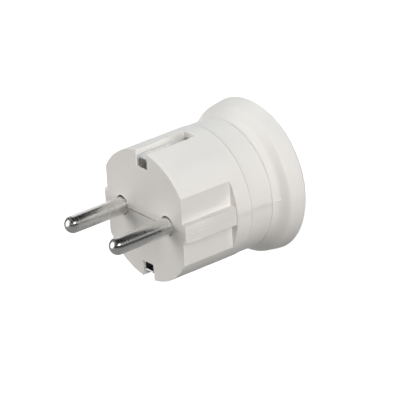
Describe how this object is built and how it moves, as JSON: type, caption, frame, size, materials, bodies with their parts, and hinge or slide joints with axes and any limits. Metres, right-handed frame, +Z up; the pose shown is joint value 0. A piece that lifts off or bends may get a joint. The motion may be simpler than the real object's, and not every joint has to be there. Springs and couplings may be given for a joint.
{
  "type": "earthed mains plug",
  "caption": "Round earthed mains plug with round pins, side flats and guide ribs, earth strips in its grooves, and a flared rear grip with a cord inlet.",
  "frame": {"origin": "centre of the flat rear face, on the surface that the plug stands on", "axes": "+Z up along the pins, out of the front face; +X from the left pin to the right one; +Y from the lower earth contact to the upper one"},
  "size_m": [0.043, 0.043, 0.0573],
  "materials": {
    "shell_plastic": "moulded white thermoplastic, softly glossy",
    "nickel_plate": "nickel-plated brass, bright turned",
    "contact_strip": "nickel-plated sheet brass",
    "bare_brass": "plain machined brass",
    "zinc_steel": "zinc-plated steel",
    "clamp_plastic": "moulded plastic"
  },
  "bodies": {
    "root": {"upper_shell": "shell_plastic", "lower_shell": "shell_plastic", "left_pin": "nickel_plate", "right_pin": "nickel_plate", "left_wire_guard": "bare_brass", "right_wire_guard": "bare_brass", "earth_wire_guard": "bare_brass", "pin_terminal_screws": "zinc_steel", "earth_terminal_screw": "zinc_steel", "upper_earth_contact": "contact_strip", "lower_earth_contact": "contact_strip", "earth_terminal": "bare_brass", "cord_clamp": "clamp_plastic", "cord_clamp_screws": "zinc_steel", "housing_screws": "zinc_steel"}
  },
  "joints": []
}
